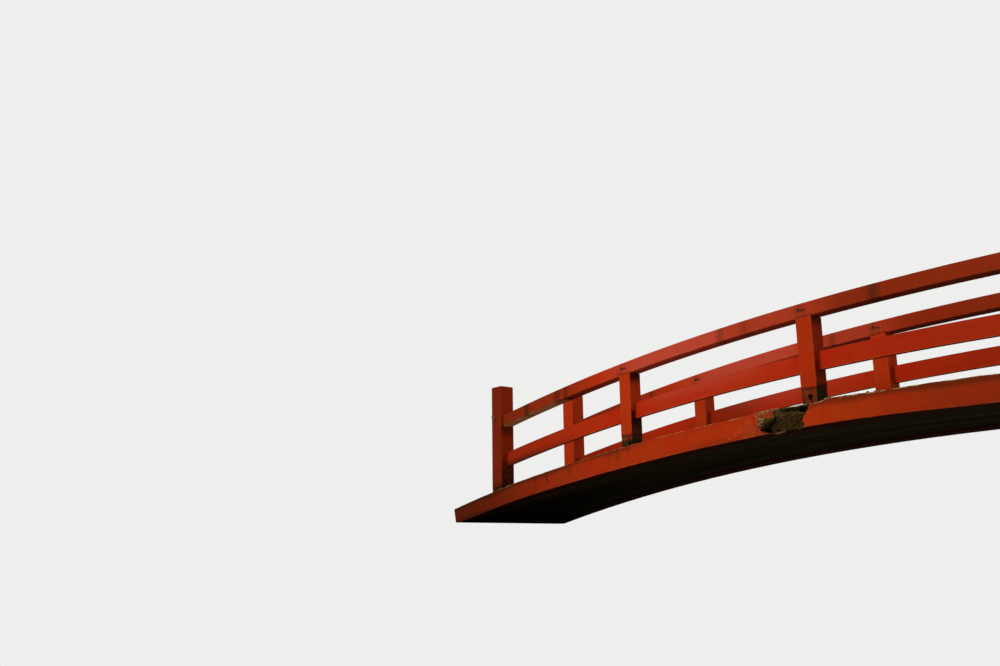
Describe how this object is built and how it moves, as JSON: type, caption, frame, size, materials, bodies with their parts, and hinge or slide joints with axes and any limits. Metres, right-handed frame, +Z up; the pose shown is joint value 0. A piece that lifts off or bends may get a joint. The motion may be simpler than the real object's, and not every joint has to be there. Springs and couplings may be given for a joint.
{
  "type": "arched timber garden bridge",
  "caption": "Low arched garden bridge in red painted timber, with curved edge beams, a boarded deck, square posts and curved double rails on both sides.",
  "frame": {"origin": "middle of the plan at the level of the seats under the beam ends", "axes": "+X along the span towards the right end, +Y across the bridge to the far side, +Z up"},
  "size_m": [8.1366, 1.11, 1.1565],
  "materials": {
    "vermilion_timber": "weathered satin paint",
    "deck_boards": "weathered bare timber",
    "underside_boards": "damp mossy timber"
  },
  "bodies": {
    "root": {"near_beam": "vermilion_timber", "far_beam": "vermilion_timber", "deck": "deck_boards", "soffit": "underside_boards", "cross_joists": "deck_boards", "left_sill": "vermilion_timber", "right_sill": "vermilion_timber", "near_post_0": "vermilion_timber", "near_post_1": "vermilion_timber", "near_post_2": "vermilion_timber", "near_post_3": "vermilion_timber", "near_post_4": "vermilion_timber", "near_post_5": "vermilion_timber", "far_post_0": "vermilion_timber", "far_post_1": "vermilion_timber", "far_post_2": "vermilion_timber", "far_post_3": "vermilion_timber", "far_post_4": "vermilion_timber", "far_post_5": "vermilion_timber", "near_top_rail_1": "vermilion_timber", "near_top_rail_2": "vermilion_timber", "near_top_rail_3": "vermilion_timber", "near_top_rail_4": "vermilion_timber", "near_top_rail_5": "vermilion_timber", "near_mid_rail_1": "vermilion_timber", "near_mid_rail_2": "vermilion_timber", "near_mid_rail_3": "vermilion_timber", "near_mid_rail_4": "vermilion_timber", "near_mid_rail_5": "vermilion_timber", "far_top_rail_1": "vermilion_timber", "far_top_rail_2": "vermilion_timber", "far_top_rail_3": "vermilion_timber", "far_top_rail_4": "vermilion_timber", "far_top_rail_5": "vermilion_timber", "far_mid_rail_1": "vermilion_timber", "far_mid_rail_2": "vermilion_timber", "far_mid_rail_3": "vermilion_timber", "far_mid_rail_4": "vermilion_timber", "far_mid_rail_5": "vermilion_timber"}
  },
  "joints": []
}
